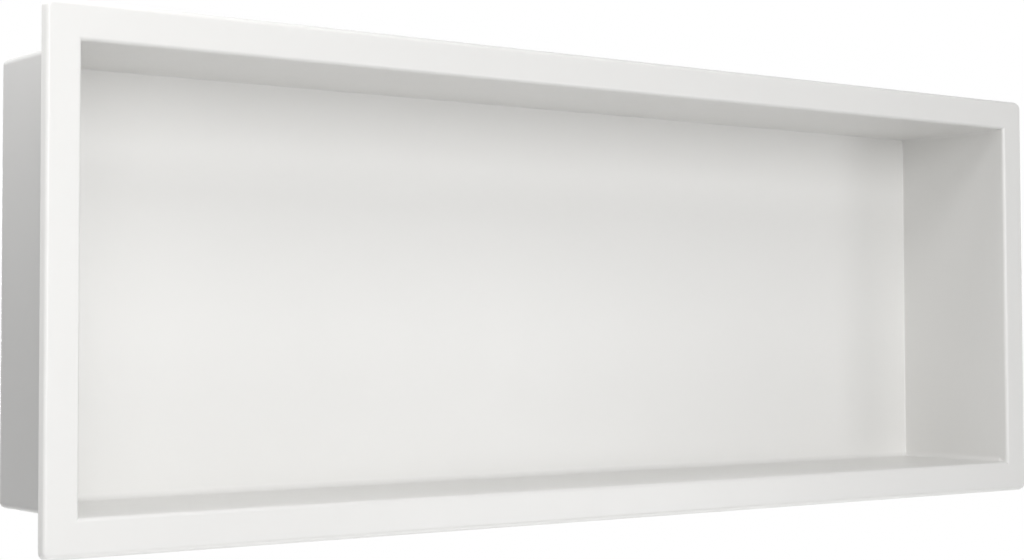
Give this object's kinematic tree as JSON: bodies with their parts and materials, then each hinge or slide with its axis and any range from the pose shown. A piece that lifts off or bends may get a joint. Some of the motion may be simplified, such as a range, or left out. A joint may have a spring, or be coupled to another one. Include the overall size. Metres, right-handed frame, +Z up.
{
  "type": "shower niche insert",
  "caption": "Wide rectangular shower niche insert: a shallow moulded recess with coved floor edges and a flat border whose return lip sits on the wall face.",
  "frame": {"origin": "centre of the seat plane, where the rear edge of the border's return lip meets the finished face of the wall", "axes": "+X along the width, +Y into the wall, +Z up"},
  "size_m": [0.952, 0.122, 0.352],
  "materials": {
    "white_moulding": "satin white, smooth moulded surface"
  },
  "bodies": {
    "root": {"niche_body": "white_moulding"}
  },
  "joints": []
}
